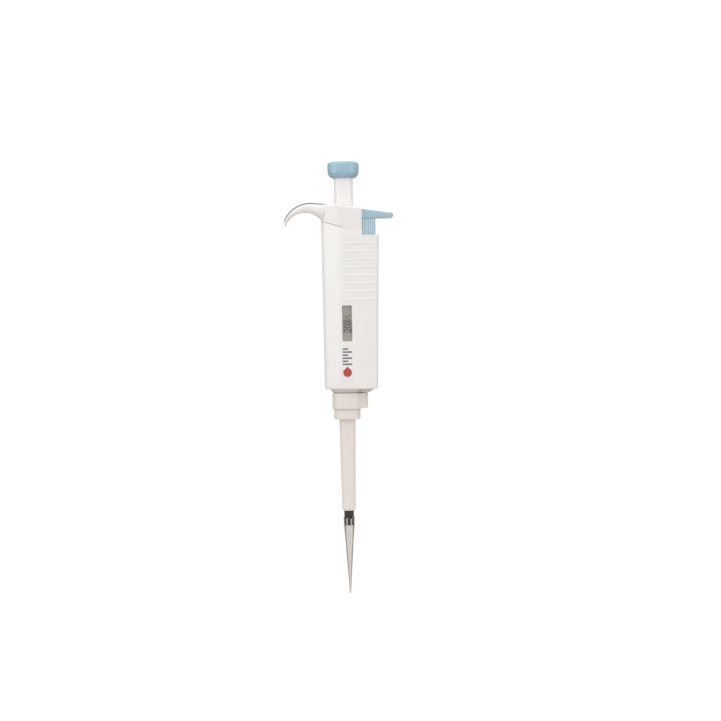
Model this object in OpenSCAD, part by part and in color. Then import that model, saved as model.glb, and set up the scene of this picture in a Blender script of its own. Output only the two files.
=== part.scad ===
// Adjustable single-channel micropipette with a fitted disposable tip.
// +Z is up along the plunger axis, the finger hook points to -X, the display faces -Y.
// The origin is the centre of the nozzle's lower end, where a tip goes on.

/* [Tip and nozzle] */
// Length of the disposable tip
tip_len = 49.4; // [46:0.1:52]
// Radius of the tip's rim
tip_rim_r = 3.75; // [3.6:0.05:4.1]
// Radius of the tip's outlet end
tip_end_r = 0.45; // [0.4:0.05:0.6]
// Length of nozzle that sits inside the tip
tip_grip = 4.9; // [4:0.1:5.5]
// Radius of the nozzle's lower end
nozzle_r = 2.85; // [2.6:0.05:2.9]
// Length of nozzle that shows between the tip and the ejector sleeve
nozzle_bare = 4.5; // [4.2:0.1:5]

/* [Ejector sleeve and collar] */
// Radius of the sleeve's lower end
sleeve_low_r = 4.35; // [4.2:0.05:4.6]
// Radius of the sleeve's upper end
sleeve_top_r = 5.2; // [5.1:0.05:5.2]
// Length of sleeve below the lock ring
sleeve_len = 59.1; // [58:0.1:60]
// Radius of the lock ring
lock_ring_r = 8.5; // [8:0.1:9]
// Height of the lock ring
lock_ring_h = 6; // [5.5:0.1:6.5]
// Radius of the ejector collar
collar_r = 9.5; // [9.2:0.1:10]
// Height of the ejector collar
collar_h = 10.9; // [10.5:0.1:11.5]

/* [Handle] */
// Height of the handle, from its foot to the ejector shoulder
handle_h = 98.7; // [98:0.1:100]
// Depth of the handle, front to back
handle_d = 25; // [24.6:0.1:27]
// Reach of the handle to the hook side at its top
handle_left = 14.8; // [14.8:0.1:15.5]
// Reach of the handle to the ejector side at its top
handle_right = 22.8; // [22.8:0.1:23.5]
// Draw of the palm side towards the foot
palm_taper = 0.7; // [0.5:0.1:1.3]
// Draw of the ejector side towards the foot
eject_taper = 2.3; // [1:0.1:2.4]
// Number of grip ribs
rib_count = 8; // [4:1:9]
// Spacing of the grip ribs
rib_pitch = 5.1; // [4.5:0.1:5.1]

/* [Display] */
// Width of the display window
window_w = 6; // [5.5:0.1:6.5]
// Height of the display window
window_h = 22.7; // [21.5:0.1:23]
// Radius of a number wheel
wheel_r = 8.6; // [8.3:0.1:8.6]
// Spacing of the number wheels
wheel_pitch = 2.4; // [2.3:0.05:2.4]

/* [Finger hook] */
// Radius inside the hook
hook_in_r = 13.3; // [12.8:0.1:13.5]
// Radius over the top of the hook
hook_out_r = 19.2; // [19.1:0.1:19.3]
// Width of the hook, front to back
hook_w = 15; // [13:0.5:16]

/* [Ejector button] */
// Travel of the ejector
eject_travel = 10.5; // [9:0.1:10.5]
// Width of the ejector button, front to back
eject_w = 13; // [12:0.2:13]

/* [Plunger] */
// Radius of the button at its widest
button_r = 10.1; // [9.5:0.1:10.5]
// Height of the button
button_h = 10.7; // [10.5:0.1:11.5]
// Radius of the plunger stem
stem_r = 6.1; // [6:0.05:6.1]
// Radius of the piston
piston_r = 2.25; // [2.15:0.05:2.25]
// Plunger travel to the first stop
stroke = 12.6; // [12:0.1:12.6]
// Further travel that blows out the last drop
blowout = 3; // [2.5:0.1:3]

/* [Hidden] */
$fn = 64;
run = 0.05;   // radial clearance of a running fit
slack = 0.3;  // clearance beside a piece that slides

// colours
white = [0.93, 0.92, 0.90];
pale_blue = [0.65, 0.78, 0.83];
display_grey = [0.62, 0.60, 0.57];
dark_grey = [0.20, 0.18, 0.17];
steel = [0.75, 0.76, 0.78];
brass = [0.80, 0.66, 0.36];
acetal = [0.85, 0.85, 0.80];
frosted = [0.85, 0.88, 0.88, 0.6];

// heights of the outer pieces, from the tip up to the button
rim_z = tip_grip;
sleeve_z = rim_z + nozzle_bare;
ring_z = sleeve_z + sleeve_len;
collar_z = ring_z + lock_ring_h + 0.1;
collar_top_z = collar_z + collar_h;
foot_z = collar_top_z + 2.6;
nut_z = collar_top_z + slack;
nut_top_r = collar_r + 1.5;
shoulder_z = foot_z + handle_h;
seam_left_z = shoulder_z + 9.3;
seam_right_z = shoulder_z + 1;
cap_top_z = shoulder_z + 20.3;
button_z = cap_top_z + stroke + blowout + 0.9;
step_x = 11.3; // the cap ends here, and the ejector slides beside it

// the air chamber and its seal
chamber_r = piston_r + 0.1;
spigot_r = 2.7;
spigot_z = 20;
spigot_top_z = 28;
seal_r = 3.4;
seal_z = ring_z + 2.5;
seal_top_z = seal_z + 6;

// the two springs that the plunger works against
barrel_r = 6.6;
barrel_bore_r = 4.8;
barrel_shoulder_z = collar_z + 3.9;
spring_seat_z = barrel_shoulder_z + 1.5;
plate_z = spring_seat_z + 8;
plate_top_z = plate_z + 2;
head_z = plate_top_z + 22;
head_top_z = head_z + 2.5;
skirt_z = plate_top_z + stroke + 0.1;
socket_top_z = head_top_z + 3.5;
barrel_top_z = head_z + 1;
rod_r = 2.5;
rod_z = head_z + 0.3;
clip_z = socket_top_z + 0.3;

// the volume mechanism
window_x = 1;
window_z = foot_z + 30.9;
window_top_z = window_z + window_h;
bore_r = 9.8;
bore_z = barrel_top_z + 1;
frame_z = window_z + 2;
frame_top_z = window_z + 18.5;
wheel_z = window_z + 6;
wheel_h = wheel_pitch - 0.2;
arbor_r = 5;
arbor_bore_r = 4.4;
screw_r = 4.2;
screw_bore_r = 2.7;
screw_z = clip_z + 1.9;
thread_r = 5.2;
thread_z = frame_top_z + 0.5;
thread_top_z = thread_z + 28;
hex_r = 3.8;
hex_top_z = cap_top_z + 0.1;
stem_z = cap_top_z - 21.1;
pinion_x = -10.9;

// the ejector
bar_x0 = 11.9;
bar_x1 = 13.5;
bar_w = 6;
block_x0 = 11.6;
block_x1 = 20.3;
block_z = shoulder_z - 8.8;
lever_z = shoulder_z + eject_travel + 0.5;
lever_top_z = lever_z + 6.1;
lever_end_x = 31.9;
return_x = 17.4;
return_r = 3.1;
return_z = block_z - 31.5;

// the label on the lower part of the handle
label_x0 = -2.6;
label_x1 = 4;
label_z = foot_z + 4.5;
label_top_z = label_z + 23;
label_depth = 0.25;

// --- shapes that repeat ---

function arc(centre, r, from, to, steps = 8) = [
    for (i = [0:steps])
        let (a = from + (to - from) * i / steps)
            centre + r * [cos(a), sin(a)]
];

// direction, from either centre, of the points where a straight side touches two circles
function side_dir(c1, r1, c2, r2) =
    atan2(c2[1] - c1[1], c2[0] - c1[0]) - acos((r1 - r2) / norm(c2 - c1));

module rod(r, z0, z1) {
    translate([0, 0, z0]) cylinder(h = z1 - z0, r = r);
}

module tube(r, bore, z0, z1) {
    difference() {
        rod(r, z0, z1);
        rod(bore, z0 - 1, z1 + 1);
    }
}

// a block from x0 to x1, w wide about the middle plane
module slab(x0, x1, w, z0, z1) {
    translate([x0, -w / 2, z0]) cube([x1 - x0, w, z1 - z0]);
}

// a block cut into the front face only
module front_slab(x0, x1, depth, z0, z1) {
    translate([x0, -handle_d / 2 - 1, z0]) cube([x1 - x0, depth + 1, z1 - z0]);
}

// an outline drawn in X and Z, w thick about the middle plane
module upright(w) {
    translate([0, w / 2, 0]) rotate([90, 0, 0]) linear_extrude(w) children();
}

// a round wire coil between two seats, with a closed turn at each end
module coil_spring(z0, z1, mean_r, wire_r, turns) {
    steps = 18;
    sides = 6;
    last = (turns + 2) * steps;
    rise = (z1 - z0 - 6 * wire_r) / turns;
    function height(t) =
        t < 1 ? 2 * wire_r * t
        : t < turns + 1 ? 2 * wire_r + rise * (t - 1)
        : 2 * wire_r * (t - turns) + rise * turns;
    points = [
        for (i = [0:last], k = [0:sides - 1])
            let (t = i / steps, b = 360 * k / sides, r = mean_r + wire_r * cos(b))
                [r * cos(360 * t), r * sin(360 * t), z0 + wire_r + height(t) + wire_r * sin(b)]
    ];
    walls = [
        for (i = [0:last - 1], k = [0:sides - 1])
            let (m = (k + 1) % sides)
                [i * sides + k, (i + 1) * sides + k, (i + 1) * sides + m, i * sides + m]
    ];
    low_end = [for (k = [0:sides - 1]) k];
    high_end = [for (k = [sides - 1:-1:0]) last * sides + k];
    polyhedron(points, concat(walls, [low_end, high_end]), convexity = 10);
}

// --- handle and cap ---

// plan of the handle: a rounded palm side, a flat front and back, a blunt ejector side
module handle_plan() {
    left_r = 7;
    mid_r = 4.5;
    right_r = 4;
    left_c = [left_r - handle_left, -1.5];
    mid_c = [-2.2, mid_r - handle_d / 2];
    right_c = [handle_right - right_r, right_r - handle_d / 2];
    lean = side_dir(left_c, left_r, mid_c, mid_r);
    front = concat(
        arc(left_c, left_r, -180, lean),
        arc(mid_c, mid_r, lean, -90, 4),
        arc(right_c, right_r, -90, 0)
    );
    back = [for (i = [len(front) - 1:-1:0]) [front[i][0], -front[i][1]]];
    polygon(concat(front, back));
}

// the block that the handle and the cap are both cut from
module handle_block() {
    top_z = cap_top_z + 1;
    low_left = palm_taper - handle_left;
    low_right = handle_right - eject_taper;
    intersection() {
        translate([0, 0, foot_z]) linear_extrude(top_z - foot_z) handle_plan();
        upright(handle_d + 4) polygon([
            [low_left + 1.2, foot_z],
            [low_right - 1.7, foot_z],
            [low_right, foot_z + 2],
            [handle_right, top_z],
            [-handle_left, top_z],
            [low_left, foot_z + 1.4]
        ]);
    }
}

// the space above the sloped seam, left of the ejector
module above_seam() {
    slope = (seam_left_z - seam_right_z) / (handle_left + 11);
    far = 50;
    upright(2 * far) polygon([
        [-far, seam_left_z + slope * (far - handle_left)],
        [step_x, seam_right_z - slope * (step_x - 11)],
        [step_x, cap_top_z + far],
        [-far, cap_top_z + far]
    ]);
}

// the guide under the foot that the ejector bar slides in, open towards the coupling nut
module bar_guide() {
    guide_w = 11;
    wall = 0.8;
    far_x = 18.2;
    low_z = nut_z + 0.1;
    difference() {
        upright(guide_w) polygon([
            [8, low_z], [bar_x1 + slack + wall, low_z], [far_x, foot_z], [far_x, foot_z + 1], [8, foot_z + 1]
        ]);
        rod(nut_top_r + slack, low_z - 1, foot_z);
        slab(0, bar_x1 + slack, bar_w + 0.8, low_z - 1, foot_z);
    }
}

module handle_shell() {
    top_z = cap_top_z + 2;
    rib_r = 0.8;
    rib_proud = 0.3;
    color(white) difference() {
        union() {
            difference() {
                handle_block();
                above_seam();
                slab(step_x - 0.01, handle_right + 1, handle_d + 2, shoulder_z, top_z);
            }
            for (i = [0:rib_count - 1])
                translate([-0.5, rib_r - rib_proud - handle_d / 2, shoulder_z - 5.4 - i * rib_pitch])
                    rotate([0, 90, 0]) cylinder(h = 20, r = rib_r);
            bar_guide();
        }
        rod(barrel_r, foot_z - 1, bore_z + 1);
        rod(bore_r, bore_z, top_z);
        slab(pinion_x - 2.3, 0, 4.8, frame_z, frame_top_z + slack);
        front_slab(window_x - window_w / 2, window_x + window_w / 2, 6, window_z, window_top_z);
        front_slab(label_x0, label_x1, label_depth, label_z, label_top_z);
        slab(bar_x0 - slack, bar_x1 + slack, bar_w + 0.8, foot_z - 1, block_z);
        slab(step_x, block_x1 + slack, eject_w + 2 * slack, block_z - eject_travel - 0.7, top_z);
        translate([return_x, 0, 0]) rod(return_r, return_z, block_z);
        translate([return_x, 0, 0]) rod(1.5, return_z - 5, block_z);
    }
}

// side view of the finger hook, from its nose to where it runs into the cap
hook_in = [-25.3, cap_top_z - 18.1];
hook_out = [-21.4, cap_top_z + 1.2 - hook_out_r];
hook_nose_z = cap_top_z - 10.6;
hook_root_x = -8;

module hook_profile() {
    difference() {
        union() {
            intersection() {
                translate(hook_out) circle(hook_out_r);
                translate([hook_out[0] - 30, hook_nose_z]) square([30, 30]);
            }
            polygon([
                [hook_out[0], cap_top_z + 1.2],
                [hook_root_x - 2.5, cap_top_z + 0.15],
                [hook_root_x, cap_top_z - 0.1],
                [hook_root_x, seam_left_z + 0.1],
                [hook_out[0], seam_left_z + 0.1]
            ]);
            hull() {
                translate([-37.7, hook_nose_z]) circle(1.4, $fn = 32);
                translate([-37.5, hook_nose_z - 2.3]) circle(1, $fn = 32);
            }
        }
        translate(hook_in) circle(hook_in_r);
    }
}

// plan of the hook: it narrows to a round end
module hook_plan() {
    end_r = 5.4;
    hull() {
        translate([end_r - 39.1, 0]) circle(end_r, $fn = 32);
        translate([-16, -hook_w / 2]) square([16 + hook_root_x, hook_w]);
    }
}

module hook_solid() {
    intersection() {
        upright(hook_w + 2) hook_profile();
        translate([0, 0, cap_top_z - 20]) linear_extrude(25) hook_plan();
    }
}

// the shallow channel along the hook's top
module hook_channel() {
    depth = 0.9;
    upright(8) intersection() {
        hook_profile();
        difference() {
            translate([hook_out[0] - 30, hook_nose_z]) square([30 - hook_out[0] + hook_root_x - 2.5, 30]);
            translate(hook_out) circle(hook_out_r - depth);
            polygon([
                [hook_out[0], cap_top_z + 1.2 - depth],
                [hook_root_x - 2, cap_top_z + 0.15 - depth],
                [hook_root_x - 2, hook_nose_z - 1],
                [hook_out[0], hook_nose_z - 1]
            ]);
        }
    }
}

module hook_cap() {
    right_top_z = cap_top_z - 2.5;
    color(white) difference() {
        union() {
            intersection() {
                handle_block();
                above_seam();
                upright(handle_d + 2) polygon([
                    [-40, cap_top_z], [-6, cap_top_z], [step_x, right_top_z],
                    [step_x, shoulder_z - 5], [-40, shoulder_z - 5]
                ]);
            }
            hook_solid();
            tube(bore_r - run, 8.6, shoulder_z - 3, seam_left_z);
        }
        rod(8.6, shoulder_z - 4, cap_top_z - 12);
        rod(7.5, shoulder_z, cap_top_z + 2);
        hook_channel();
    }
}

module hook_inlay() {
    color(pale_blue) intersection() {
        hook_channel();
        hook_solid();
    }
}

module stem_bush() {
    color(acetal) difference() {
        union() {
            rod(7.5, cap_top_z - 14, cap_top_z - 2.3);
            rod(8.6, cap_top_z - 14, cap_top_z - 12);
        }
        rod(stem_r + 0.1, cap_top_z - 15, cap_top_z);
    }
}

// --- display and volume mechanism ---

module window_lens() {
    color(frosted) translate([window_x - window_w / 2, 0.15 - handle_d / 2, window_z])
        cube([window_w, 1, window_h]);
}

module display_mask() {
    inner_r = wheel_r + 0.25;
    color(display_grey) difference() {
        rotate([0, 0, -108]) rotate_extrude(angle = 56)
            translate([inner_r, window_z - 0.8]) square([bore_r - 0.1 - inner_r, window_h + 1.6]);
        front_slab(window_x - window_w / 2 + 0.2, window_x + window_w / 2 - 0.2, handle_d / 2,
            wheel_z - 0.3, wheel_z + 3 * wheel_pitch + 0.1);
    }
}

module label_plate() {
    color(white) translate([label_x0, -handle_d / 2, label_z])
        cube([label_x1 - label_x0, label_depth, label_top_z - label_z]);
}

module counter_frame() {
    flange_h = 2;
    outer_r = bore_r - run;
    color(acetal) difference() {
        union() {
            rod(outer_r, frame_z, frame_z + flange_h);
            rod(arbor_r, frame_z, wheel_z + 2 * wheel_pitch - 0.2);
            rod(outer_r, frame_top_z - flange_h, frame_top_z);
            for (z = [frame_z, frame_top_z - flange_h])
                slab(pinion_x - 2, pinion_x + 4, 4.4, z, z + flange_h);
            translate([-2.2, wheel_r + 0.25, frame_z]) cube([4.4, 0.55, frame_top_z - frame_z]);
        }
        rod(arbor_bore_r, frame_z - 1, frame_top_z + 1);
        translate([pinion_x, 0, 0]) rod(0.8, frame_z - 1, frame_top_z + 1);
        front_slab(-3.4, 6.4, handle_d / 2 - 6.8, frame_z - 1, frame_top_z + 1);
    }
}

module setting_nut() {
    low_z = thread_z + 5;
    color(brass) difference() {
        tube(bore_r - run, thread_r + 0.1, low_z, low_z + 16);
        for (a = [45:90:315])
            rotate([0, 0, a]) translate([bore_r, 0, 0]) rod(1, low_z - 1, low_z + 17);
    }
}

module volume_screw() {
    color(steel) difference() {
        union() {
            rod(screw_r, screw_z, thread_z + 1);
            rod(thread_r, thread_z, thread_top_z);
            translate([0, 0, thread_top_z - 1])
                cylinder(h = hex_top_z - thread_top_z + 1, r = hex_r, $fn = 6);
        }
        rod(screw_bore_r, screw_z - 1, hex_top_z + 1);
    }
}

// a number wheel: place 0 is the hundreds, 1 the tens, 2 the units
module number_wheel(place, bore) {
    z0 = wheel_z + place * wheel_pitch;
    color(display_grey) difference() {
        rod(wheel_r, z0, z0 + wheel_h);
        rod(bore, z0 - 1, z0 + wheel_h + 1);
        tube(wheel_r - 1.2, bore + 1, z0 + wheel_h - 0.4, z0 + wheel_h + 1);
    }
}

module wheel_units() {
    number_wheel(2, screw_r);
}

module wheel_tens() {
    number_wheel(1, arbor_r + run);
}

module wheel_hundreds() {
    number_wheel(0, arbor_r + run);
}

module pinion_shaft() {
    color(steel) translate([pinion_x, 0, 0]) rod(0.75, frame_z, frame_top_z);
}

// an eight-tooth pinion level with the gap below number wheel place
module pinion(place) {
    z0 = wheel_z + place * wheel_pitch - 1.2;
    color(acetal) translate([pinion_x, 0, z0]) difference() {
        linear_extrude(wheel_h) union() {
            circle(1.4);
            for (a = [0:45:315])
                rotate(a) translate([0.5, -0.3]) square([1.4, 0.6]);
        }
        translate([0, 0, -1]) cylinder(h = wheel_h + 2, r = 0.8);
    }
}

module pinion_units() {
    pinion(2);
}

module pinion_tens() {
    pinion(1);
}

// --- plunger ---

module plunger_button() {
    low_r = 4.5;
    top_r = 2;
    top_z = button_z + button_h;
    color(pale_blue) difference() {
        rotate_extrude() polygon(concat(
            [[0, button_z]],
            arc([button_r - low_r, button_z + low_r], low_r, -75, 0),
            arc([button_r - top_r, top_z - top_r], top_r, 0, 90, 6),
            [[button_r - 4.5, top_z], [0, top_z - 0.4]]
        ));
        rod(stem_r, button_z - 1, button_z + 3);
        rod(rod_r + run, button_z, button_z + 6.1);
    }
}

module plunger_stem() {
    top_z = button_z + 3;
    color(white) difference() {
        rod(stem_r, stem_z, top_z);
        translate([0, 0, stem_z - 1]) cylinder(h = button_z + 1.4 - stem_z, r = hex_r + 0.25, $fn = 6);
        rod(rod_r + run, stem_z, top_z + 1);
    }
}

module push_rod() {
    color(steel) difference() {
        rod(rod_r, rod_z, button_z + 6);
        tube(rod_r + 1, rod_r - 0.4, clip_z, clip_z + 1.6);
    }
}

module rod_circlip() {
    color(steel) difference() {
        tube(4, rod_r - 0.4, clip_z, clip_z + 1.6);
        slab(0, 5, 1.6, clip_z - 1, clip_z + 3);
    }
}

module piston_head() {
    color(acetal) difference() {
        union() {
            rod(3.1, skirt_z, head_z + 1);
            rod(4.3, head_z, head_top_z);
            rod(3.6, head_top_z - 1, socket_top_z);
        }
        rod(piston_r, skirt_z - 1, head_z + 0.2);
        rod(rod_r + run, head_z + 0.2, socket_top_z + 1);
    }
}

module piston() {
    low_z = spigot_top_z + stroke + blowout + 0.6;
    color(steel) rotate_extrude() polygon([
        [0, low_z], [piston_r - 0.4, low_z], [piston_r, low_z + 0.4], [piston_r, head_z + 0.2], [0, head_z + 0.2]
    ]);
}

module piston_spring() {
    color(steel) coil_spring(plate_top_z, head_z, 3.95, 0.25, 7);
}

module stop_plate() {
    color(steel) tube(4.6, piston_r + 0.15, plate_z, plate_top_z);
}

module stop_circlip() {
    color(steel) difference() {
        tube(barrel_bore_r, 4.5, plate_top_z + 0.1, plate_top_z + 0.7);
        slab(0, 6, 2, plate_top_z, plate_top_z + 1);
    }
}

module blowout_spring() {
    color(steel) coil_spring(spring_seat_z, plate_z, 3.9, 0.4, 3);
}

// --- air chamber and lower barrel ---

module seal_oring() {
    wire_r = 0.5;
    color(dark_grey) translate([0, 0, seal_z + wire_r + 0.1])
        rotate_extrude() translate([seal_r - 0.05 - wire_r, 0]) circle(wire_r, $fn = 32);
}

module piston_seal() {
    color(white) tube(seal_r, piston_r + run, seal_z + 1.3, seal_top_z - 1.5);
}

module seal_retainer() {
    color(steel) tube(seal_r, piston_r + 0.15, seal_top_z - 1.5, seal_top_z);
}

module lower_barrel() {
    color(white) rotate_extrude() polygon([
        [spigot_r, spigot_z], [3.3, spigot_z], [4.1, barrel_shoulder_z], [barrel_r, barrel_shoulder_z],
        [barrel_r, barrel_top_z], [barrel_bore_r, barrel_top_z], [barrel_bore_r, spring_seat_z],
        [seal_r, spring_seat_z], [seal_r, seal_z], [chamber_r, seal_z], [chamber_r, spigot_top_z],
        [spigot_r, spigot_top_z]
    ]);
}

module nozzle() {
    outlet_r = 0.9;
    inner_r = 1.8;
    color(dark_grey) rotate_extrude() polygon([
        [outlet_r, 0], [nozzle_r, 0], [nozzle_r + 0.2, rim_z], [3.15, sleeve_z], [3.3, spigot_z],
        [spigot_r, spigot_z], [spigot_r, spigot_top_z], [inner_r, spigot_top_z], [inner_r, 8], [outlet_r, 6]
    ]);
}

module coupling_nut() {
    color(white) rotate_extrude() polygon([
        [barrel_r, nut_z], [collar_r - 0.5, nut_z], [nut_top_r, foot_z], [barrel_r, foot_z]
    ]);
}

// --- ejector ---

// side view of the ejector button: a block with a thumb lever
module lever_profile() {
    nose_r = 1.6;
    nose = [lever_end_x - nose_r, lever_z + nose_r + 0.1];
    union() {
        polygon([
            [block_x0, block_z], [block_x1, block_z], [block_x1, lever_z], [nose[0], nose[1] - nose_r],
            [nose[0] + 0.2, nose[1] + nose_r], [28.5, lever_top_z - 2.7], [block_x0 + 0.4, lever_top_z],
            [block_x0, lever_top_z - 0.4]
        ]);
        translate(nose) circle(nose_r);
    }
}

module lever_plan() {
    end_r = 4;
    hull() {
        translate([block_x0 - 1, -eject_w / 2]) square([8, eject_w]);
        for (s = [-1, 1])
            translate([lever_end_x - end_r, s * (eject_w / 2 - end_r)]) circle(end_r, $fn = 32);
    }
}

module ejector_button() {
    groove_count = 8;
    groove_w = 0.35;
    color(pale_blue) difference() {
        intersection() {
            upright(eject_w) lever_profile();
            translate([0, 0, block_z - 1]) linear_extrude(30) lever_plan();
        }
        for (i = [0:groove_count - 1], s = [-1, 1])
            translate([block_x0 + 0.9 + i * 0.95, s * eject_w / 2 - groove_w, block_z - 1])
                cube([groove_w, 2 * groove_w, lever_z - block_z + 0.8]);
        slab(block_x0 - 1, bar_x1, bar_w, block_z - 1, block_z + 6);
        translate([bar_x0 - 1, 0, block_z + 3]) rotate([0, 90, 0]) cylinder(h = 6.5, r = 0.8);
    }
}

module ejector_bar() {
    color(white) difference() {
        slab(bar_x0, bar_x1, bar_w, collar_z + 1.2, block_z + 6);
        translate([bar_x0 - 1, 0, block_z + 3]) rotate([0, 90, 0]) cylinder(h = 4, r = 0.8);
    }
}

module bar_pin() {
    color(steel) translate([bar_x0, 0, block_z + 3]) rotate([0, 90, 0]) cylinder(h = 5, r = 0.8);
}

module ejector_spring() {
    color(steel) translate([return_x, 0, 0]) coil_spring(return_z, block_z, 2.3, 0.3, 11);
}

module spring_pin() {
    color(steel) translate([return_x, 0, 0]) rod(1.5, return_z - 5, return_z + 15);
}

module ejector_collar() {
    edge_r = 1.6;
    floor_h = 2.2;
    color(white) difference() {
        union() {
            rotate_extrude() polygon(concat(
                [[0, collar_z]],
                arc([collar_r - edge_r, collar_z + edge_r], edge_r, -90, 0, 6),
                [[collar_r, collar_top_z], [0, collar_top_z]]
            ));
            slab(0, bar_x0, 8, collar_z + 1.2, collar_top_z);
        }
        rod(sleeve_top_r + run, collar_z - 1, collar_top_z);
        rod(barrel_r + 0.7, collar_z + floor_h, collar_top_z + 1);
    }
}

module sleeve_lock_ring() {
    edge = 0.5;
    color(white) rotate_extrude() polygon([
        [sleeve_top_r + run, ring_z], [lock_ring_r - edge, ring_z], [lock_ring_r, ring_z + edge],
        [lock_ring_r, ring_z + lock_ring_h], [sleeve_top_r + run, ring_z + lock_ring_h]
    ]);
}

module ejector_sleeve() {
    flange_z = collar_z + 2.2;
    top_z = flange_z + 1;
    lip = 0.3;
    color(white) rotate_extrude() polygon([
        [3.45, sleeve_z], [sleeve_low_r - lip, sleeve_z], [sleeve_low_r, sleeve_z + lip],
        [sleeve_top_r, ring_z], [sleeve_top_r, flange_z], [barrel_r, flange_z], [barrel_r, top_z],
        [4.55, top_z]
    ]);
}

// --- disposable tip ---

module pipette_tip() {
    // share of the tip's length from its outlet, with the outer radius and the wall there
    cuts = [[0, tip_end_r, 0.2], [0.19, 1, 0.4], [0.4, 1.7, 0.5], [0.71, 2.75, 0.5]];
    outside = [for (c = cuts) [c[1], rim_z + (c[0] - 1) * tip_len]];
    inside = [for (i = [len(cuts) - 1:-1:0]) outside[i] - [cuts[i][2], 0]];
    fit_r = nozzle_r + run;
    color(frosted) rotate_extrude() polygon(concat(
        outside,
        [[tip_rim_r - 0.2, rim_z - 3.2], [tip_rim_r, rim_z - 3], [tip_rim_r, rim_z]],
        [[fit_r + 0.2, rim_z], [fit_r, 0], [fit_r - 0.2, -0.2]],
        inside
    ));
}

handle_shell();
hook_cap();
hook_inlay();
stem_bush();
window_lens();
display_mask();
label_plate();
counter_frame();
setting_nut();
volume_screw();
wheel_units();
wheel_tens();
wheel_hundreds();
pinion_shaft();
pinion_units();
pinion_tens();
plunger_button();
plunger_stem();
push_rod();
rod_circlip();
piston_head();
piston();
piston_spring();
stop_plate();
stop_circlip();
blowout_spring();
piston_seal();
seal_oring();
seal_retainer();
lower_barrel();
nozzle();
coupling_nut();
ejector_button();
ejector_bar();
bar_pin();
ejector_spring();
spring_pin();
ejector_collar();
sleeve_lock_ring();
ejector_sleeve();
pipette_tip();
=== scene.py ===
import math

import bmesh
import bpy
from mathutils import Matrix, Vector

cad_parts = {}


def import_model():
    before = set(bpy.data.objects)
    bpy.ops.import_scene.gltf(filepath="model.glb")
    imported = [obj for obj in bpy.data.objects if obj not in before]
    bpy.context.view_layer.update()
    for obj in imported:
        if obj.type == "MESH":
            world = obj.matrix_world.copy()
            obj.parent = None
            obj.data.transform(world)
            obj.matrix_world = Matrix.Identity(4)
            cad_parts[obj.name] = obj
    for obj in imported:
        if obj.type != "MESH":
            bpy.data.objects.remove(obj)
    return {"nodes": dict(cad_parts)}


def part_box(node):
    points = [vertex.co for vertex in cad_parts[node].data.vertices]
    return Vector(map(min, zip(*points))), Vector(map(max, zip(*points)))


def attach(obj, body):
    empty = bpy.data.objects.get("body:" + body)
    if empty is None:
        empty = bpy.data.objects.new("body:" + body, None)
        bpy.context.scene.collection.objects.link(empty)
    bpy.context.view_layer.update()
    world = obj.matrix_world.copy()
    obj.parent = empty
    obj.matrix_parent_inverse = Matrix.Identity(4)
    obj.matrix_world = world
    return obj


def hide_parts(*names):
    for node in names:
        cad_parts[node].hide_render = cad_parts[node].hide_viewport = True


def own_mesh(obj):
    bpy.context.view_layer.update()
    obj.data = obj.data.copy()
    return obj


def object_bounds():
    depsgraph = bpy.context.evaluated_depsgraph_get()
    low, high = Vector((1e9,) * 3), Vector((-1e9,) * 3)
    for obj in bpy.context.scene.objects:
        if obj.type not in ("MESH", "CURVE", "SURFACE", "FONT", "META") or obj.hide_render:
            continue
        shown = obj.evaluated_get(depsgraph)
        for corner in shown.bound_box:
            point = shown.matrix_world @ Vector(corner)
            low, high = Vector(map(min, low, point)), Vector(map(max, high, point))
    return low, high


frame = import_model()
CAD_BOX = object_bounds()

# Every length of a piece is in millimetres until place() scales the finished mesh to metres.
# The stage at the end (lights and floor) is in metres.
MM = 0.001


def box_mm(node):
    """Lowest and highest corner of a CAD node, in millimetres."""
    low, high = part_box(node)
    return low / MM, high / MM


SHELL_LOW, SHELL_HIGH = box_mm("handle_shell")
CAP_LOW, CAP_HIGH = box_mm("hook_cap")
LENS_LOW, LENS_HIGH = box_mm("window_lens")
LABEL_LOW, LABEL_HIGH = box_mm("label_plate")
KNOB_LOW, KNOB_HIGH = box_mm("plunger_button")
STEM_LOW, STEM_HIGH = box_mm("plunger_stem")
ROD_TOP_Z = box_mm("push_rod")[1].z
LEVER_LOW, LEVER_HIGH = box_mm("ejector_button")
BAR_LOW, BAR_HIGH = box_mm("ejector_bar")
PIN_LOW, PIN_HIGH = box_mm("bar_pin")
COLLAR_LOW, COLLAR_HIGH = box_mm("ejector_collar")
RING_LOW, RING_HIGH = box_mm("sleeve_lock_ring")
SLEEVE_LOW, SLEEVE_HIGH = box_mm("ejector_sleeve")
NUT_LOW, NUT_HIGH = box_mm("coupling_nut")
BARREL_LOW, BARREL_HIGH = box_mm("lower_barrel")
NOZZLE_LOW, NOZZLE_HIGH = box_mm("nozzle")
TIP_LOW, TIP_HIGH = box_mm("pipette_tip")
FRAME_LOW, FRAME_HIGH = box_mm("counter_frame")
WHEELS_FOOT_Z = box_mm("wheel_hundreds")[0].z

# Handle and cap.
FOOT_Z = NUT_HIGH.z
SEAM_LEFT_Z = SHELL_HIGH.z
SEAM_SLOPE = -0.322
SHOULDER_Z = LEVER_LOW.z + 8.8
HOOK_CREST = 1.2
CAP_TOP_Z = CAP_HIGH.z - HOOK_CREST
STEP_X = CAP_HIGH.x
HALF_DEPTH = CAP_HIGH.y
PALM_X = SHELL_LOW.x
EJECT_X = SHELL_HIGH.x
PALM_DRAW = 0.5
EJECT_DRAW = 2.3
BORE_R = 9.8
LOW_BORE_R = 6.62

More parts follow.
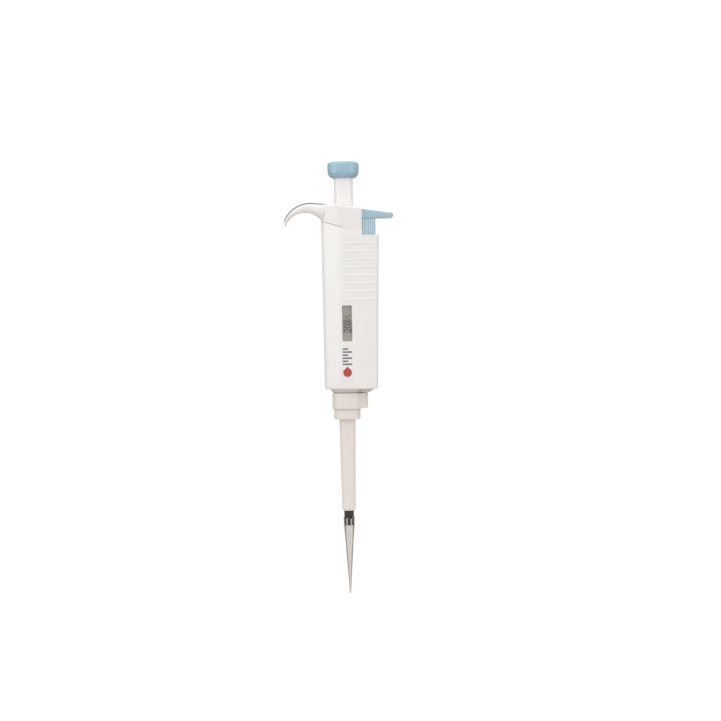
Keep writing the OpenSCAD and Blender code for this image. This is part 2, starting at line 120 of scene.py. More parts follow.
# Ejector: the underside of its lever, its return spring's axis, and how wide its bar's room is.
LEVER_Z = LEVER_HIGH.z - 6.1
RETURN_X = 17.4
SPRING_FOOT_Z = LEVER_LOW.z - 31.5
PIN_FOOT_Z = SPRING_FOOT_Z - 5
BAR_GAP = 0.3
BAR_HALF_ROOM = 3.4
SLEEVE_R_LOW = 4.35
SLEEVE_R_TOP = 5.2


# ------------ mesh tools

def add_to_scene(obj):
    bpy.context.scene.collection.objects.link(obj)


def new_object(name, bm):
    """An object from a bmesh in millimetres, with its faces turned outwards."""
    bmesh.ops.remove_doubles(bm, verts=bm.verts, dist=1e-5)
    bmesh.ops.recalc_face_normals(bm, faces=bm.faces)
    mesh = bpy.data.meshes.new(name)
    bm.to_mesh(mesh)
    bm.free()
    obj = bpy.data.objects.new(name, mesh)
    add_to_scene(obj)
    return obj


def apply_modifiers(obj):
    graph = bpy.context.evaluated_depsgraph_get()
    mesh = bpy.data.meshes.new_from_object(obj.evaluated_get(graph))
    old = obj.data
    obj.modifiers.clear()
    obj.data = mesh
    bpy.data.meshes.remove(old)


def discard(obj):
    mesh = obj.data
    bpy.data.objects.remove(obj)
    bpy.data.meshes.remove(mesh)


def combine(obj, other, operation):
    """Joins other to obj or cuts it from obj, and removes other."""
    modifier = obj.modifiers.new(operation, "BOOLEAN")
    modifier.operation = operation
    modifier.solver = "EXACT"
    modifier.object = other
    apply_modifiers(obj)
    bm = bmesh.new()
    bm.from_mesh(obj.data)
    bmesh.ops.remove_doubles(bm, verts=bm.verts, dist=2e-4)
    bmesh.ops.dissolve_degenerate(bm, edges=bm.edges, dist=1e-4)
    bm.to_mesh(obj.data)
    bm.free()
    discard(other)


def cut(obj, *others):
    for other in others:
        combine(obj, other, "DIFFERENCE")


def unite(obj, *others):
    for other in others:
        combine(obj, other, "UNION")


def soften(obj, width, angle):
    """Rounds the edges that are sharper than angle, in degrees."""
    modifier = obj.modifiers.new("soften", "BEVEL")
    modifier.width = width
    modifier.segments = 2
    modifier.limit_method = "ANGLE"
    modifier.angle_limit = math.radians(angle)
    modifier.use_clamp_overlap = False
    apply_modifiers(obj)


def melt(obj, voxel, passes):
    """Makes one skin of obj and rounds every edge a little, as a moulding has them."""
    modifier = obj.modifiers.new("skin", "REMESH")
    modifier.mode = "VOXEL"
    modifier.voxel_size = voxel
    smooth = obj.modifiers.new("smooth", "SMOOTH")
    smooth.factor = 0.5
    smooth.iterations = passes
    apply_modifiers(obj)


def place(obj, body, material, replaced=(), crease=35):
    """Scales a finished piece to metres, shades it, and ties it to its CAD body."""
    obj.data.transform(Matrix.Scale(MM, 4))
    obj.data.shade_smooth()
    obj.data.set_sharp_from_angle(angle=math.radians(crease))
    obj.data.materials.clear()
    obj.data.materials.append(material)
    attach(obj, body)
    if replaced:
        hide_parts(*replaced)


def join_rings(bm, low, high):
    """Faces between two rings of vertices. A ring of one vertex is a pole."""
    if len(low) == 1 and len(high) == 1:
        return
    count = max(len(low), len(high))
    for k in range(count):
        m = (k + 1) % count
        if len(low) == 1:
            bm.faces.new((low[0], high[k], high[m]))
        elif len(high) == 1:
            bm.faces.new((low[k], high[0], low[m]))
        else:
            bm.faces.new((low[k], high[k], high[m], low[m]))


def lathe(name, outline, segments=96, ripple=None):
    """A closed outline of (radius, height) points turned about Z. ripple gives what a point adds."""
    bm = bmesh.new()
    rings = []
    for radius, height in outline:
        if radius < 1e-6:
            rings.append([bm.verts.new((0, 0, height))])
            continue
        ring = []
        for k in range(segments):
            angle = math.tau * k / segments
            r = radius + (ripple(angle, radius) if ripple else 0)
            ring.append(bm.verts.new((r * math.cos(angle), r * math.sin(angle), height)))
        rings.append(ring)
    for low, high in zip(rings, rings[1:] + rings[:1]):
        join_rings(bm, low, high)
    return new_object(name, bm)


def loft(name, rings, mirrored=False):
    """A skin through rings of points. Mirrored rings are closed by strips from front to back."""
    bm = bmesh.new()
    loops = [[bm.verts.new(p) for p in ring] for ring in rings]
    for low, high in zip(loops, loops[1:]):
        join_rings(bm, low, high)
    for loop in (loops[0], loops[-1]):
        if not mirrored:
            bm.faces.new(loop)
            continue
        last = len(loop) - 1
        for k in range(len(loop) // 2 - 1):
            bm.faces.new((loop[k], loop[k + 1], loop[last - k - 1], loop[last - k]))
    return new_object(name, bm)


def prism(name, outline, low, high, along="Z"):
    """An outline pushed from low to high. Along Z it lies in X and Y, along Y in X and Z."""
    bm = bmesh.new()
    if along == "Z":
        rings = [[bm.verts.new((a, b, h)) for a, b in outline] for h in (low, high)]
    else:
        rings = [[bm.verts.new((a, h, b)) for a, b in outline] for h in (low, high)]
    join_rings(bm, rings[0], rings[1])
    for ring in rings:
        bm.faces.new(ring)
    return new_object(name, bm)


def soft_prism(name, outline, low, high, edge, along="Z"):
    """A prism whose two end faces have rounded edges."""
    obj = prism(name, outline, low, high, along)
    bm = bmesh.new()
    bm.from_mesh(obj.data)
    axis = 2 if along == "Z" else 1
    rim = [e for e in bm.edges if abs(e.verts[0].co[axis] - e.verts[1].co[axis]) < 1e-6]
    bmesh.ops.bevel(
        bm, geom=rim, offset=edge, segments=3, profile=0.5, affect="EDGES", clamp_overlap=False
    )
    bm.to_mesh(obj.data)
    bm.free()
    return obj


def block(name, low, high):
    """A box from its lowest to its highest corner."""
    outline = [(low[0], low[1]), (high[0], low[1]), (high[0], high[1]), (low[0], high[1])]
    return prism(name, outline, low[2], high[2])


def soft_block(name, low, high, radius, segments=4):
    """A block with all its edges rounded."""
    obj = block(name, low, high)
    bm = bmesh.new()
    bm.from_mesh(obj.data)
    bmesh.ops.bevel(bm, geom=bm.edges[:], offset=radius, segments=segments, profile=0.5, affect="EDGES")
    bm.to_mesh(obj.data)
    bm.free()
    return obj


def rounded(corners, steps=6):
    """A closed outline in which each corner (x, y, radius) becomes an arc."""
    outline = []
    count = len(corners)
    for i, corner in enumerate(corners):
        here = Vector(corner[:2])
        radius = corner[2] if len(corner) > 2 else 0
        if radius == 0:
            outline.append(tuple(here))
            continue
        before = (Vector(corners[i - 1][:2]) - here).normalized()
        after = (Vector(corners[(i + 1) % count][:2]) - here).normalized()
        half = before.angle(after) / 2
        centre = here + (before + after).normalized() * radius / math.sin(half)
        start = here + before * radius / math.tan(half) - centre
        end = here + after * radius / math.tan(half) - centre
        first = math.atan2(start.y, start.x)
        turn = (math.atan2(end.y, end.x) - first + math.pi) % math.tau - math.pi
        for k in range(steps + 1):
            angle = first + turn * k / steps
            outline.append((centre.x + radius * math.cos(angle), centre.y + radius * math.sin(angle)))
    return outline


def round_rect(x0, y0, x1, y1, radius, steps=6):
    return rounded([(x0, y0, radius), (x1, y0, radius), (x1, y1, radius), (x0, y1, radius)], steps)


def arc(centre, radius, first, last, steps):
    """Points on an arc from first to last, in degrees."""
    points = []
    for k in range(steps + 1):
        angle = math.radians(first + (last - first) * k / steps)
        points.append((centre[0] + radius * math.cos(angle), centre[1] + radius * math.sin(angle)))
    return points


def rod(name, radius, low, high, segments=64):
    return lathe(name, [(0, low), (radius, low), (radius, high), (0, high)], segments)


# ------------ materials

def shader(name):
    material = bpy.data.materials.new(name)
    material.use_nodes = True
    return material, material.node_tree, material.node_tree.nodes["Principled BSDF"]


def noise(tree, size, detail=3.0, stretch=(1, 1, 1)):
    """Noise in the piece's own millimetres. Size is the width of its spots."""
    where = tree.nodes.new("ShaderNodeTexCoord")
    mapping = tree.nodes.new("ShaderNodeMapping")
    mapping.inputs["Scale"].default_value = stretch
    texture = tree.nodes.new("ShaderNodeTexNoise")
    texture.inputs["Scale"].default_value = 1 / (size * MM)
    texture.inputs["Detail"].default_value = detail
    tree.links.new(where.outputs["Object"], mapping.inputs["Vector"])
    tree.links.new(mapping.outputs["Vector"], texture.inputs["Vector"])
    return texture.outputs["Fac"]


def map_range(tree, value, start, end, kind="LINEAR"):
    """Goes from end[0] to end[1] as value goes from start[0] to start[1]."""
    node = tree.nodes.new("ShaderNodeMapRange")
    node.interpolation_type = kind
    for key, number in zip(("From Min", "From Max", "To Min", "To Max"), (*start, *end)):
        node.inputs[key].default_value = number
    tree.links.new(value, node.inputs["Value"])
    return node.outputs["Result"]


def spread(tree, value, low, high):
    """Maps the middle of a noise to the range from low to high."""
    return map_range(tree, value, (0.3, 0.7), (low, high))


def two_colours(tree, value, first, second):
    node = tree.nodes.new("ShaderNodeMix")
    node.data_type = "RGBA"
    node.inputs["A"].default_value = (*first, 1)
    node.inputs["B"].default_value = (*second, 1)
    tree.links.new(value, node.inputs["Factor"])
    return node.outputs["Result"]


def bump(tree, value, depth, below=None):
    node = tree.nodes.new("ShaderNodeBump")
    node.inputs["Distance"].default_value = depth * MM
    tree.links.new(value, node.inputs["Height"])
    if below:
        tree.links.new(below, node.inputs["Normal"])
    return node.outputs["Normal"]


def darker(colour, share):
    return tuple(c * share for c in colour)


def plastic(
    name, colour, roughness, grain=0.25, depth=0.004, wave_depth=0.02, mottle=0.97, coat=0.0
):
    """Moulded plastic: faint flow mottling, a fine eroded grain, a slow waviness and uneven gloss."""
    material, tree, bsdf = shader(name)
    link = tree.links.new
    mottling = spread(tree, noise(tree, 9.0, 4.0), 0, 1)
    link(two_colours(tree, mottling, colour, darker(colour, mottle)), bsdf.inputs["Base Color"])
    gloss = spread(tree, noise(tree, 2.2, 4.0), roughness - 0.05, roughness + 0.06)
    link(gloss, bsdf.inputs["Roughness"])
    waves = bump(tree, noise(tree, 14.0, 1.0), wave_depth)
    link(bump(tree, noise(tree, grain, 2.0), depth, waves), bsdf.inputs["Normal"])
    bsdf.inputs["Coat Weight"].default_value = coat
    bsdf.inputs["Coat Roughness"].default_value = 0.2
    return material


def fading_plastic(name, upper, lower, level, reach, roughness):
    """Satin plastic painted a little paler below a level than above it: painted light."""
    material = plastic(name, upper, roughness, mottle=0.94, coat=0.2)
    tree = material.node_tree
    bsdf = tree.nodes["Principled BSDF"]
    above = bsdf.inputs["Base Color"].links[0].from_socket
    where = tree.nodes.new("ShaderNodeTexCoord")
    parts = tree.nodes.new("ShaderNodeSeparateXYZ")
    tree.links.new(where.outputs["Object"], parts.inputs["Vector"])
    share = map_range(tree, parts.outputs["Z"], ((level - reach) * MM, level * MM), (0, 1))
    painted_light_mix = two_colours(tree, share, lower, upper)
    tree.links.new(above, painted_light_mix.node.inputs["B"])
    tree.links.new(painted_light_mix, bsdf.inputs["Base Color"])
    return material


def turned_metal(name, colour, roughness, stretch=(0.05, 0.05, 1)):
    """Metal with fine tool marks round it."""
    material, tree, bsdf = shader(name)
    link = tree.links.new
    bsdf.inputs["Metallic"].default_value = 1.0
    marks = noise(tree, 0.12, 3.0, stretch)
    stain = spread(tree, noise(tree, 5.0, 4.0), 0, 1)
    link(two_colours(tree, stain, colour, darker(colour, 0.86)), bsdf.inputs["Base Color"])
    link(spread(tree, marks, roughness - 0.08, roughness + 0.1), bsdf.inputs["Roughness"])
    link(bump(tree, marks, 0.006), bsdf.inputs["Normal"])
    return material


def clear_plastic(name, colour, ior, roughness, wave_depth, clearness=1.0):
    """Transparent plastic with slow moulding waves and a slightly uneven haze."""
    material, tree, bsdf = shader(name)
    link = tree.links.new
    bsdf.inputs["Transmission Weight"].default_value = clearness
    bsdf.inputs["IOR"].default_value = ior
    cloud = spread(tree, noise(tree, 3.0, 3.0), 0, 1)
    link(two_colours(tree, cloud, colour, darker(colour, 0.95)), bsdf.inputs["Base Color"])
    link(spread(tree, noise(tree, 1.5, 3.0), roughness, roughness * 1.8), bsdf.inputs["Roughness"])
    link(bump(tree, noise(tree, 2.5, 1.0), wave_depth), bsdf.inputs["Normal"])
    return material


def rubber(name):
    material, tree, bsdf = shader(name)
    link = tree.links.new
    bloom = spread(tree, noise(tree, 0.8, 4.0), 0, 1)
    link(two_colours(tree, bloom, (0.022, 0.022, 0.022), (0.04, 0.04, 0.042)), bsdf.inputs["Base Color"])
    link(spread(tree, bloom, 0.55, 0.75), bsdf.inputs["Roughness"])
    link(bump(tree, noise(tree, 0.1, 2.0), 0.01), bsdf.inputs["Normal"])
    return material


def ink(name, colour):
    """Printed ink: nearly even, with slightly thin spots."""
    material, tree, bsdf = shader(name)
    link = tree.links.new
    thin = spread(tree, noise(tree, 0.5, 3.0), 0, 1)
    pale = tuple(c * 0.85 + 0.06 for c in colour)
    link(two_colours(tree, thin, colour, pale), bsdf.inputs["Base Color"])
    link(spread(tree, thin, 0.4, 0.55), bsdf.inputs["Roughness"])
    return material


WHITE = plastic("white_plastic", (0.87, 0.845, 0.825), 0.36, coat=0.15)
# The stem's own pinkish white, with a base paler than WHITE: that extra paleness is painted light for
# the stronger light from above on the stem.
STEM_WHITE_PAINTED_LIGHT = plastic(
    "stem_plastic", (0.95, 0.905, 0.895), 0.26, depth=0.002, wave_depth=0.006, coat=0.25
)
SHAFT = plastic("shaft_plastic", (0.80, 0.735, 0.695), 0.40)
BLUE = plastic("blue_plastic", (0.345, 0.545, 0.635), 0.3, mottle=0.94, coat=0.35)
# Lighter than BLUE, and paler still below the lever's underside: painted light on the ejector block,
# standing in for the light its ribs catch.
LEVER_BLUE = fading_plastic(
    "lever_plastic", upper=(0.39, 0.565, 0.655), lower=(0.62, 0.80, 0.90), level=LEVER_Z, reach=1.0,
    roughness=0.33
)
INLAY_BLUE = plastic("blue_inlay", (0.22, 0.28, 0.35), 0.5, grain=0.35, depth=0.01, mottle=0.93)
DISPLAY = plastic("display_plastic", (0.93, 0.85, 0.77), 0.5, mottle=0.94)
LABEL = plastic("label_film", (0.87, 0.845, 0.825), 0.33, grain=0.5, depth=0.002)
# Darker copy of the white plastic for the nut and the bar guide under the foot: painted shade for the
# shadow under the handle.
NECK_PAINTED_SHADE = plastic("neck_painted_shade", (0.66, 0.60, 0.56), 0.45)
BEARING = plastic("bearing_plastic", (0.80, 0.80, 0.74), 0.42, mottle=0.95)
SEAL = plastic("seal_plastic", (0.88, 0.88, 0.86), 0.45, mottle=0.95)
DARK = plastic("dark_plastic", (0.032, 0.024, 0.021), 0.48, mottle=0.7)
RUBBER = rubber("rubber")
STEEL = turned_metal("steel", (0.62, 0.62, 0.62), 0.26)
SPRING_STEEL = turned_metal("spring_steel", (0.60, 0.60, 0.61), 0.2, (1, 1, 1))
BRASS = turned_metal("brass", (0.60, 0.45, 0.20), 0.28)
CLEAR = clear_plastic("clear_plastic", (0.93, 0.93, 0.91), 1.50, 0.02, 0.01)
TIP_CLEAR = clear_plastic("tip_plastic", (0.93, 0.90, 0.87), 1.49, 0.02, 0.004)
TIP_CLOUDY = clear_plastic("tip_cloudy", (0.86, 0.81, 0.76), 1.49, 0.3, 0.004, clearness=0.4)
DIGIT_INK = ink("digit_ink", (0.05, 0.043, 0.038))
RED_INK = ink("red_ink", (0.50, 0.035, 0.03))
GREY_INK = ink("grey_ink", (0.20, 0.17, 0.185))


# ------------ handle and cap

def lean_angle(first, first_r, second, second_r):
    """Direction from both centres, in degrees, where one straight side touches two circles."""
    between = Vector(second) - Vector(first)
    along = math.atan2(between.y, between.x)
    return math.degrees(along - math.acos((first_r - second_r) / between.length))


def plan(inset, right_x, right_r):
    """The handle's plan from the palm side round the front and back again, drawn in by inset."""
    left_r = 7.0
    left_y = -1.5
    mid_r = 4.5
    mid_x = -2.0
    left = (PALM_X + left_r, left_y)
    mid = (mid_x, mid_r - HALF_DEPTH)
    right = (right_x - right_r, right_r - HALF_DEPTH)
    lean = lean_angle(left, left_r, mid, mid_r)
    front = arc(left, left_r - inset, -180, lean, 14)
    front += arc(mid, mid_r - inset, lean, -90, 8)
    front += arc(right, right_r - inset, -90, 0, 8)
    return front + [(x, -y) for x, y in reversed(front)]


def drawn_in(x, z):
    """The sides come in a little towards the foot."""
    fall = (SEAM_LEFT_Z - z) / (SEAM_LEFT_Z - FOOT_Z)
    if x < 0:
        return x * (1 + PALM_DRAW * fall / PALM_X)
    return x * (1 - EJECT_DRAW * fall / EJECT_X)


def handle_ring(inset, height, right_x=EJECT_X, right_r=4.0):
    """One ring of the handle's skin. height(x) gives its level."""
    ring = []
    for x, y in plan(inset, right_x, right_r):
        z = height(x)
        ring.append((drawn_in(x, z), y, z))
    return ring


def seam(x):
    """The sloped line where the cap meets the shell."""
    return SEAM_LEFT_Z + SEAM_SLOPE * (x - PALM_X)


def shell_top(x):
    """The shell's top: along the seam, but never below the shoulder that the ejector rises from."""
    return max(seam(x), SHOULDER_Z + 0.3)


def cap_top(x):
    """The cap's top: level beside the hook, then falling towards the ejector."""
    level_width = 6
    drop = 2.5
    fall = drop / (STEP_X + level_width)
    return CAP_TOP_Z - fall * max(0.0, x + level_width)


def rim_rings(level, radius, steps, upwards, **plan_sizes):
    """Rings that round a rim of the skin: its lower rim if upwards, else its upper rim."""
    rings = []
    for k in range(steps + 1):
        angle = math.radians(90 * k / steps)
        inset = radius * (1 - math.sin(angle))
        rise = radius * (1 - math.cos(angle))
        shift = rise if upwards else -rise
        rings.append(handle_ring(inset, lambda x: level(x) + shift, **plan_sizes))
    return rings if upwards else rings[::-1]


def grip_ribs():
    """Low round ribs across the front face."""
    count = 8
    pitch = 5.1
    below_shoulder = 5.4
    radius = 0.8
    proud = 0.24
    left = -0.5
    right = 19.5
    half = (right - left) / 2
    outline = arc((0, half - radius), radius, 90, 0, 5) + arc((0, radius - half), radius, 0, -90, 5)
    outline[0] = (0, half)
    outline[-1] = (0, -half)
    ribs = []
    for i in range(count):
        rib = lathe("rib", outline, 32)
        rib.data.transform(Matrix.Rotation(math.pi / 2, 4, "Y"))
        level = SHOULDER_Z - below_shoulder - i * pitch
        middle = ((left + right) / 2, radius - proud - HALF_DEPTH, level)
        rib.data.transform(Matrix.Translation(middle))
        ribs.append(rib)
    return ribs


def window_cutter():
    """Cuts the window with a small chamfer round its front."""
    flare = 0.45
    corner = 0.7
    inner_y = -6.0
    rings = []
    for y, grow in ((inner_y, 0), (flare - HALF_DEPTH, 0), (-HALF_DEPTH - 1, flare + 1)):
        outline = round_rect(
            LENS_LOW.x - grow, LENS_LOW.z - grow, LENS_HIGH.x + grow, LENS_HIGH.z + grow, corner + grow
        )
        rings.append([(x, y, z) for x, z in outline])
    return loft("window_cut", rings)


def bar_guide():
    """The guide under the foot for the ejector bar, open towards the coupling nut."""
    low = NUT_LOW.z + 0.1
    near_x = 8
    wall_x = BAR_HIGH.x + BAR_GAP
    wall = 0.8
    far_x = 18.2
    half = 5.5
    outline = [
        (near_x, low), (wall_x + wall, low), (far_x, FOOT_Z), (far_x, FOOT_Z + 1), (near_x, FOOT_Z + 1)
    ]
    guide = soft_prism("bar_guide", outline, -half, half, 0.3, along="Y")
    top_r = NUT_HIGH.x + 0.3
    low_r = top_r - 2
    nut_room = lathe("nut_room", [
        (0, low - 1), (low_r, low - 1), (low_r, NUT_LOW.z),
        (top_r, FOOT_Z), (top_r, FOOT_Z + 1), (0, FOOT_Z + 1)
    ])
    slot = block("guide_slot", (0, -BAR_HALF_ROOM, low - 1), (wall_x, BAR_HALF_ROOM, FOOT_Z + 2))
    above = block("above", (0, -9, FOOT_Z), (25, 9, FOOT_Z + 2))
    cut(guide, nut_room, slot, above)
    # The guide takes the dark neck material: painted shade under the foot.
    place(guide, "handle", NECK_PAINTED_SHADE)


def main_bore():
    """The room for the barrel and, above it, the wider room for the counter and the screw."""
    neck_z = BARREL_HIGH.z + 1
    return lathe("bore", [
        (0, FOOT_Z - 2), (LOW_BORE_R, FOOT_Z - 2), (LOW_BORE_R, neck_z),
        (BORE_R, neck_z), (BORE_R, CAP_TOP_Z), (0, CAP_TOP_Z)
    ])


def spring_bore():
    """The room for the ejector's return spring, and the seat of its guide pin below it."""
    spring_r = 3.1
    pin_r = 1.52
    bore = lathe("spring_bore", [
        (0, PIN_FOOT_Z), (pin_r, PIN_FOOT_Z), (pin_r, SPRING_FOOT_Z), (spring_r, SPRING_FOOT_Z),
        (spring_r, LEVER_LOW.z), (0, LEVER_LOW.z)
    ], 48)
    bore.data.transform(Matrix.Translation((RETURN_X, 0, 0)))
    return bore


def ejector_room():
    """The channel that the bar slides in, and the well that the ejector block sinks into."""
    half = BAR_HALF_ROOM
    low = (BAR_LOW.x - BAR_GAP, -half, FOOT_Z - 3)
    channel = block("channel", low, (BAR_HIGH.x + BAR_GAP, half, LEVER_LOW.z))
    well_half = 6.8
    well_far_x = 20.6
    well_depth = 11.2
    outline = round_rect(STEP_X + 0.01, -well_half, well_far_x, well_half, 0.8)
    well = prism("well", outline, LEVER_LOW.z - well_depth, CAP_TOP_Z)
    return [channel, well]


def handle_shell():
    foot = rim_rings(lambda x: FOOT_Z, 1.5, 5, upwards=True)
    top = rim_rings(shell_top, 0.08, 2, upwards=False)
    shell = loft("handle_shell_skin", foot + top, mirrored=True)
    unite(shell, *grip_ribs())
    far = 40
    step = block("step", (STEP_X, -far, SHOULDER_Z), (far, far, CAP_TOP_Z))
    pocket_half = 2.4
    pocket_low = (FRAME_LOW.x - 0.3, -pocket_half, FRAME_LOW.z)
    pocket = block("pocket", pocket_low, (0, pocket_half, FRAME_HIGH.z + 0.3))
    film = round_rect(LABEL_LOW.x, LABEL_LOW.z, LABEL_HIGH.x, LABEL_HIGH.z, 0.6)
    recess = prism("recess", film, -HALF_DEPTH - 1, LABEL_HIGH.y, along="Y")
    cut(shell, step, main_bore(), pocket, *ejector_room(), spring_bore(), window_cutter(), recess)
    place(shell, "handle", WHITE, ["handle_shell"])


HOOK_IN = Vector((-25.3, CAP_TOP_Z - 18.1))
HOOK_IN_R = 13.3
HOOK_OUT = Vector((-21.4, CAP_HIGH.z - 19.2))
HOOK_OUT_R = 19.2
HOOK_ROOT_X = -8.0
HOOK_NOSE_ANGLE = 156
HOOK_ROOT_ANGLE = 36
HOOK_MIN_X = CAP_LOW.x + 0.05
INLAY_PROUD = 0.75


def hook_outer(direction):
    """Where a ray from the hook's inner centre leaves the hook's back."""
    offset = HOOK_IN - HOOK_OUT
    along = offset.dot(direction)
    reach = -along + math.sqrt(along * along - offset.length_squared + HOOK_OUT_R ** 2)
    return HOOK_IN + direction * reach


def hook_spine(share):
    """(inner point, outer point) of the hook at a share of its length, from the nose to the root."""
    angle = math.radians(HOOK_NOSE_ANGLE - (HOOK_NOSE_ANGLE - HOOK_ROOT_ANGLE) * share)
    direction = Vector((math.cos(angle), math.sin(angle)))
    inner = HOOK_IN + direction * HOOK_IN_R
    if angle > math.pi / 2:
        outer = hook_outer(direction)
        outer.x = max(outer.x, HOOK_MIN_X)
        return inner, outer
    crest = HOOK_OUT.x
    along = (math.pi / 2 - angle) / math.radians(90 - HOOK_ROOT_ANGLE)
    start = hook_outer(Vector((0, 1)))
    x = start.x + (HOOK_ROOT_X - 1.5 - start.x) * along
    if x < crest:
        top = HOOK_OUT.y + math.sqrt(HOOK_OUT_R ** 2 - (x - HOOK_OUT.x) ** 2)
    else:
        top = CAP_HIGH.z - HOOK_CREST * (x - crest) / (HOOK_ROOT_X - crest)
    return inner, Vector((x, top))


def hook_half_width(x):
    """The hook narrows towards its nose and ends round."""
    end_r = 5.4
    full_half = 7.5
    widening = 17.7
    end_x = CAP_LOW.x + end_r
    if x < end_x:
        return math.sqrt(max(0.3, end_r ** 2 - (x - end_x) ** 2))
    return min(full_half, end_r + (full_half - end_r) * (x - end_x) / widening)


def hook_ring(share, shrink=1.0):
    """One ring of the hook. Its back lies a little lower than the inlay's, except at the root."""
    inner, outer = hook_spine(share)
    outer -= (outer - inner).normalized() * INLAY_PROUD * min(1.0, (1 - share) * 6)
    middle = (inner + outer) / 2
    across = (outer - inner).normalized()
    thick = (outer - inner).length * shrink
    half = hook_half_width(middle.x) * shrink
    corner = min(thick * 0.42, half * 0.6)
    ring = []
    for a, b in round_rect(-thick / 2, -half, thick / 2, half, corner):
        point = middle + across * a
        ring.append((max(point.x, HOOK_MIN_X), b, point.y))
    return ring


def hook_arm():
    """The finger hook, from a small round nose to where it runs into the cap."""
    nose, root = hook_spine(0)
    along = Vector((-(root - nose).y, (root - nose).x)).normalized()
    rings = []
    for shrink, push in ((0.35, 1.25), (0.7, 0.95), (0.9, 0.5)):
        rings.append([(x, y, z + along.y * push) for x, y, z in hook_ring(0, shrink)])
    steps = 40
    rings += [hook_ring(k / steps) for k in range(steps + 1)]
    return loft("hook_arm", rings)


def inlay_band(name, depth, side, proud=0.0):
    """The band along the hook's back, depth thick and side wide each way."""
    first = 0.06
    last = 0.98
    steps = 40
    rings = []
    for k in range(steps + 1):
        share = first + (last - first) * k / steps
        inner, outer = hook_spine(share)
        across = (outer - inner).normalized()
        end = min(k, steps - k) / 3
        fade = 1 if end >= 1 else 0.3 + 0.7 * math.sqrt(end * (2 - end))
        half = min(side, max(1.0, hook_half_width(outer.x) - 1.2)) * fade
        low = outer - across * depth
        high = outer + across * proud
        rings.append([
            (low.x, -half, low.y), (high.x, -half, high.y), (high.x, half, high.y), (low.x, half, low.y)
        ])
    return loft(name, rings)


def hook_cap():
    gap = 0.16
    plan_sizes = {"right_x": STEP_X, "right_r": 2.4}
    low = rim_rings(lambda x: seam(x) + gap, 0.1, 2, upwards=True, **plan_sizes)
    top = rim_rings(cap_top, 1.7, 6, upwards=False, **plan_sizes)
    cap = loft("hook_cap_skin", low + top, mirrored=True)
    skirt = rod("skirt", BORE_R - 0.05, CAP_LOW.z, SEAM_LEFT_Z, segments=96)
    unite(cap, hook_arm(), skirt)
    bush_r = 7.52
    flange_r = 8.62
    flange_top = CAP_TOP_Z - 12
    bore = lathe("bush_bore", [
        (0, CAP_LOW.z - 2), (flange_r, CAP_LOW.z - 2), (flange_r, flange_top), (bush_r, flange_top),
        (bush_r, CAP_TOP_Z + 3), (0, CAP_TOP_Z + 3)
    ])
    cut(cap, bore, inlay_band("inlay_channel", depth=1.1, side=4.7, proud=1.0))
    melt(cap, voxel=0.3, passes=5)
    place(cap, "handle", WHITE, ["hook_cap"], crease=60)


def hook_inlay():
    band = inlay_band("hook_inlay_band", depth=1.05, side=4.6, proud=-0.02)
    soften(band, 0.15, 40)
    place(band, "handle", INLAY_BLUE, ["hook_inlay"], crease=60)


# ------------ display and label

def inset_rect(low, high, gap, radius):
    """The front outline of a CAD box, drawn in by gap."""
    return round_rect(low.x + gap, low.z + gap, high.x - gap, high.z - gap, radius)


def window_lens():
    outline = inset_rect(LENS_LOW, LENS_HIGH, 0.05, 0.65)
    lens = soft_prism("window_pane", outline, LENS_LOW.y, LENS_HIGH.y, 0.15, along="Y")
    place(lens, "handle", CLEAR, ["window_lens"])


def glyph(name, text, height, width):
    """A flat character in X and Y, centred, with the height and width given."""
    curve = bpy.data.curves.new(name, "FONT")
    curve.body = text
    source = bpy.data.objects.new(name, curve)
    add_to_scene(source)
    graph = bpy.context.evaluated_depsgraph_get()
    mesh = bpy.data.meshes.new_from_object(source.evaluated_get(graph))
    bpy.data.objects.remove(source)
    bpy.data.curves.remove(curve)
    bm = bmesh.new()
    bm.from_mesh(mesh)
    bpy.data.meshes.remove(mesh)
    xs = [v.co.x for v in bm.verts]
    ys = [v.co.y for v in bm.verts]
    for v in bm.verts:
        v.co.x = ((v.co.x - min(xs)) / (max(xs) - min(xs)) - 0.5) * width
        v.co.y = ((v.co.y - min(ys)) / (max(ys) - min(ys)) - 0.5) * height
        v.co.z = 0
    return bm


def wrap(bm, radius, angle, level):
    """Bends a flat character round a drum, reading upwards, and gives it a thickness."""
    thickness = 0.09
    sunk = 0.05
    slices = 12
    reach = 3.0
    for k in range(1, slices):
        geometry = bm.verts[:] + bm.edges[:] + bm.faces[:]
        middle = (0, (2 * k / slices - 1) * reach, 0)
        bmesh.ops.bisect_plane(bm, geom=geometry, plane_co=middle, plane_no=(0, 1, 0))
    bmesh.ops.remove_doubles(bm, verts=bm.verts, dist=1e-4)
    made = bmesh.ops.extrude_face_region(bm, geom=bm.faces[:])
    for item in made["geom"]:
        if isinstance(item, bmesh.types.BMVert):
            item.co.z = thickness
    for v in bm.verts:
        turn = angle - v.co.y / radius
        r = radius - sunk + v.co.z
        v.co = (r * math.cos(turn), r * math.sin(turn), level + v.co.x)
    return bm


def add_bmesh(target, source):
    """Copies source into target."""
    mesh = bpy.data.meshes.new("part")
    source.to_mesh(mesh)
    source.free()
    target.from_mesh(mesh)
    bpy.data.meshes.remove(mesh)


def facing_window(radius):
    """The angle at which a drum's side lies behind the middle of the window."""
    return -math.acos(((LENS_LOW.x + LENS_HIGH.x) / 2) / radius)


def wheel_digits(wheel, body, shown):
    """The ten digits printed round a number wheel, with the shown one in the window."""
    low, high = box_mm(wheel)
    radius = high.x
    height = 4.3
    digits = bmesh.new()
    for digit in range(10):
        width = 0.9 if digit == 1 else 1.85
        character = glyph("digit", str(digit), height, width)
        angle = facing_window(radius) + math.radians(36) * (shown - digit)
        add_bmesh(digits, wrap(character, radius, angle, (low.z + high.z) / 2))
    printed = new_object(wheel + "_digits", digits)
    place(printed, body, DIGIT_INK)


